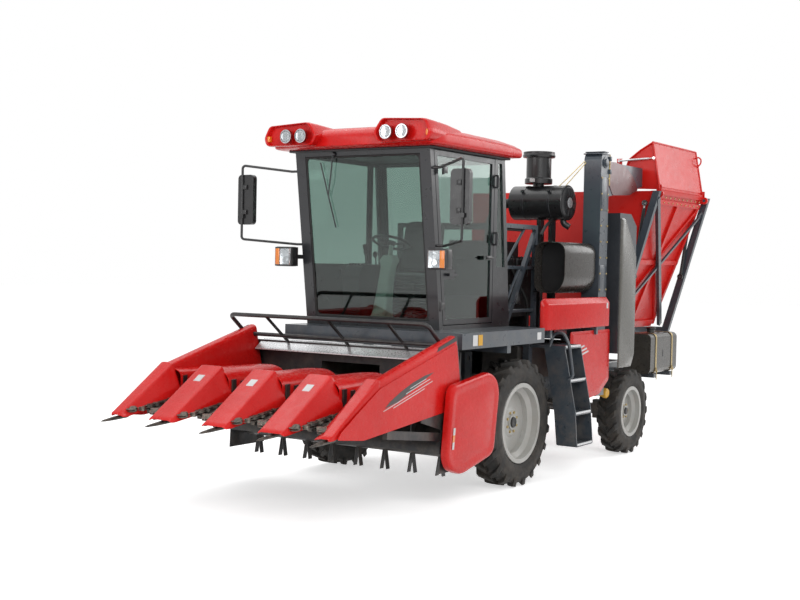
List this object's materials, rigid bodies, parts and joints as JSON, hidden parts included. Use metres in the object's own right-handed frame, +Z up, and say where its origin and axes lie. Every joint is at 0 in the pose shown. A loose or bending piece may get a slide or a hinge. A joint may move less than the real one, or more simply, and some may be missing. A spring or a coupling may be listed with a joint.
{
  "type": "self-propelled corn harvester",
  "caption": "Wheeled corn harvester with a raised divider header in front, a glazed cab, an ear elevator and a side-tipping ear bin at the rear.",
  "frame": {"origin": "on the ground under the middle of the whole machine's bounding box, header raised", "axes": "+X forward towards the header's noses, +Y to the machine's left, +Z up"},
  "size_m": [7.745, 2.75, 3.545],
  "materials": {
    "red_paint": "semi gloss enamel",
    "slate_paint": "semi gloss enamel",
    "grey_paint": "satin enamel",
    "black_paint": "satin enamel",
    "iron": "rough cast",
    "steel": "worn bright",
    "rim_paint": "satin enamel",
    "tyre_rubber": "matt",
    "clear_glass": "clear",
    "cab_plastic": "grained",
    "lamp_plastic": "clear lens over chrome",
    "mirror_plastic": "grained"
  },
  "bodies": {
    "chassis": {"chassis_frame": "slate_paint", "front_axle": "black_paint", "rear_axle": "black_paint", "operator_deck": "slate_paint", "access_ladder": "slate_paint", "cab_shell": "black_paint", "cab_roof": "red_paint", "cab_glass": "clear_glass", "cab_interior": "cab_plastic", "lamps": "lamp_plastic", "mirrors": "mirror_plastic", "engine_block": "iron", "air_cleaner": "black_paint", "side_cowl": "grey_paint", "side_covers": "red_paint", "husker_housing": "grey_paint", "ear_elevator": "slate_paint", "side_cabinet": "slate_paint", "fuel_tank": "grey_paint", "bin_support": "slate_paint"},
    "wheel_front_left": {"tyre_front_left": "tyre_rubber", "rim_front_left": "rim_paint"},
    "steered_knuckle_left": {"knuckle_left": "black_paint"},
    "wheel_rear_left": {"tyre_rear_left": "tyre_rubber", "rim_rear_left": "rim_paint"},
    "wheel_front_right": {"tyre_front_right": "tyre_rubber", "rim_front_right": "rim_paint"},
    "steered_knuckle_right": {"knuckle_right": "black_paint"},
    "wheel_rear_right": {"tyre_rear_right": "tyre_rubber", "rim_rear_right": "rim_paint"},
    "steering_bar": {"steering_rod": "steel"},
    "door": {"cab_door": "black_paint", "door_glass": "clear_glass"},
    "header": {"header_frame": "black_paint", "row_units": "black_paint", "divider_covers": "red_paint", "header_rail": "black_paint", "feeder_house": "grey_paint", "drive_shield": "red_paint"},
    "auger": {"header_auger": "black_paint"},
    "chopper": {"chopper_rotor": "black_paint"},
    "roll_1_left": {"snapping_roll_1_left": "iron"},
    "roll_1_right": {"snapping_roll_1_right": "iron"},
    "roll_2_left": {"snapping_roll_2_left": "iron"},
    "roll_2_right": {"snapping_roll_2_right": "iron"},
    "roll_3_left": {"snapping_roll_3_left": "iron"},
    "roll_3_right": {"snapping_roll_3_right": "iron"},
    "roll_4_left": {"snapping_roll_4_left": "iron"},
    "roll_4_right": {"snapping_roll_4_right": "iron"},
    "lift_barrels": {"lift_ram_barrels": "black_paint"},
    "lift_rods": {"lift_ram_rods": "steel"},
    "bin": {"bin_body": "red_paint"},
    "hood": {"bin_hood": "red_paint"},
    "tip_barrels": {"bin_ram_barrels": "black_paint"},
    "tip_rods": {"bin_ram_rods": "steel"},
    "strut_tube": {"strut_barrel": "black_paint"},
    "strut_bar": {"strut_rod": "steel"}
  },
  "joints": [
    {"name": "front_wheel_left_spin", "type": "hinge", "parent": "chassis", "child": "wheel_front_left", "pos_m": [0.605, 0.985, 0.605], "axis": [0, 1, 0], "continuous": true},
    {"name": "front_wheel_right_spin", "type": "hinge", "parent": "chassis", "child": "wheel_front_right", "pos_m": [0.605, -0.985, 0.605], "axis": [0, 1, 0], "continuous": true},
    {"name": "steer_left", "type": "hinge", "parent": "chassis", "child": "steered_knuckle_left", "pos_m": [-2.095, 0.82, 0.475], "axis": [0, 0, 1], "range_deg": [-30, 30]},
    {"name": "steer_right", "type": "hinge", "parent": "chassis", "child": "steered_knuckle_right", "pos_m": [-2.095, -0.82, 0.475], "axis": [0, 0, 1], "range_deg": [-30, 30]},
    {"name": "rear_wheel_left_spin", "type": "hinge", "parent": "steered_knuckle_left", "child": "wheel_rear_left", "pos_m": [-2.095, 0.985, 0.475], "axis": [0, 1, 0], "continuous": true},
    {"name": "rear_wheel_right_spin", "type": "hinge", "parent": "steered_knuckle_right", "child": "wheel_rear_right", "pos_m": [-2.095, -0.985, 0.475], "axis": [0, 1, 0], "continuous": true},
    {"name": "steering_bar_slide", "type": "slide", "parent": "chassis", "child": "steering_bar", "axis": [0, 1, 0], "range_m": [-0.075, 0.075]},
    {"name": "header_lift", "type": "hinge", "parent": "chassis", "child": "header", "pos_m": [0.505, 0, 1.18], "axis": [0, 1, 0], "range_deg": [0, 10]},
    {"name": "lift_barrel_tilt", "type": "hinge", "parent": "chassis", "child": "lift_barrels", "pos_m": [0.855, 0, 0.5], "axis": [0, 1, 0], "range_deg": [-0.5, 13]},
    {"name": "lift_rod_slide", "type": "slide", "parent": "lift_barrels", "child": "lift_rods", "axis": [0.943, 0, 0.3328], "range_m": [-0.1354, 0]},
    {"name": "auger_spin", "type": "hinge", "parent": "header", "child": "auger", "pos_m": [2.205, 0, 0.96], "axis": [0, 1, 0], "continuous": true},
    {"name": "chopper_spin", "type": "hinge", "parent": "header", "child": "chopper", "pos_m": [1.905, 0, 0.5], "axis": [0, 1, 0], "continuous": true},
    {"name": "roll_1_left_spin", "type": "hinge", "parent": "header", "child": "roll_1_left", "pos_m": [2.4617, -0.822, 0.88505], "axis": [0.9877, 0, -0.1564], "continuous": true},
    {"name": "roll_1_right_spin", "type": "hinge", "parent": "header", "child": "roll_1_right", "pos_m": [2.4617, -0.918, 0.88505], "axis": [0.9877, 0, -0.1564], "continuous": true},
    {"name": "roll_2_left_spin", "type": "hinge", "parent": "header", "child": "roll_2_left", "pos_m": [2.4617, -0.242, 0.88505], "axis": [0.9877, 0, -0.1564], "continuous": true},
    {"name": "roll_2_right_spin", "type": "hinge", "parent": "header", "child": "roll_2_right", "pos_m": [2.4617, -0.338, 0.88505], "axis": [0.9877, 0, -0.1564], "continuous": true},
    {"name": "roll_3_left_spin", "type": "hinge", "parent": "header", "child": "roll_3_left", "pos_m": [2.4617, 0.338, 0.88505], "axis": [0.9877, 0, -0.1564], "continuous": true},
    {"name": "roll_3_right_spin", "type": "hinge", "parent": "header", "child": "roll_3_right", "pos_m": [2.4617, 0.242, 0.88505], "axis": [0.9877, 0, -0.1564], "continuous": true},
    {"name": "roll_4_left_spin", "type": "hinge", "parent": "header", "child": "roll_4_left", "pos_m": [2.4617, 0.918, 0.88505], "axis": [0.9877, 0, -0.1564], "continuous": true},
    {"name": "roll_4_right_spin", "type": "hinge", "parent": "header", "child": "roll_4_right", "pos_m": [2.4617, 0.822, 0.88505], "axis": [0.9877, 0, -0.1564], "continuous": true},
    {"name": "cab_door_swing", "type": "hinge", "parent": "chassis", "child": "door", "pos_m": [0.56, 0.775, 2.3], "axis": [0, 0, 1], "range_deg": [0, 85]},
    {"name": "bin_tip", "type": "hinge", "parent": "chassis", "child": "bin", "pos_m": [-3.045, 1.28, 2.94], "axis": [-1, 0, 0], "range_deg": [0, 105]},
    {"name": "tip_barrel_tilt", "type": "hinge", "parent": "chassis", "child": "tip_barrels", "pos_m": [-3.045, 0.99, 2], "axis": [1, 0, 0], "range_deg": [-4.5, 0.5]},
    {"name": "tip_rod_slide", "type": "slide", "parent": "tip_barrels", "child": "tip_rods", "axis": [0, 0.138, 0.9904], "range_m": [0, 0.3156]},
    {"name": "hood_swing", "type": "hinge", "parent": "bin", "child": "hood", "pos_m": [-3.045, 1.262, 3.02], "axis": [-1, 0, 0], "range_deg": [0, 50]},
    {"name": "strut_tilt", "type": "hinge", "parent": "bin", "child": "strut_tube", "pos_m": [-2.323, 0.77, 3.33], "axis": [-1, 0, 0], "range_deg": [-0.5, 7.5]},
    {"name": "strut_slide", "type": "slide", "parent": "strut_tube", "child": "strut_bar", "axis": [0, 0.9989, 0.0476], "range_m": [0, 0.2853]}
  ],
  "couplings": [
    {"joint": "steer_right", "follows": "steer_left", "ratio": 1},
    {"joint": "steering_bar_slide", "follows": "steer_left", "m_per_rad": 0.134},
    {"joint": "lift_barrel_tilt", "follows": "header_lift", "ratio": 1.2192},
    {"joint": "lift_rod_slide", "follows": "header_lift", "m_per_rad": -0.74161},
    {"joint": "roll_1_right_spin", "follows": "roll_1_left_spin", "ratio": -1},
    {"joint": "roll_2_right_spin", "follows": "roll_2_left_spin", "ratio": -1},
    {"joint": "roll_3_right_spin", "follows": "roll_3_left_spin", "ratio": -1},
    {"joint": "roll_4_right_spin", "follows": "roll_4_left_spin", "ratio": -1},
    {"joint": "tip_barrel_tilt", "follows": "bin_tip", "ratio": -0.03755},
    {"joint": "tip_rod_slide", "follows": "bin_tip", "m_per_rad": 0.16896},
    {"joint": "strut_tilt", "follows": "hood_swing", "ratio": 0.12453},
    {"joint": "strut_slide", "follows": "hood_swing", "m_per_rad": 0.3201}
  ]
}
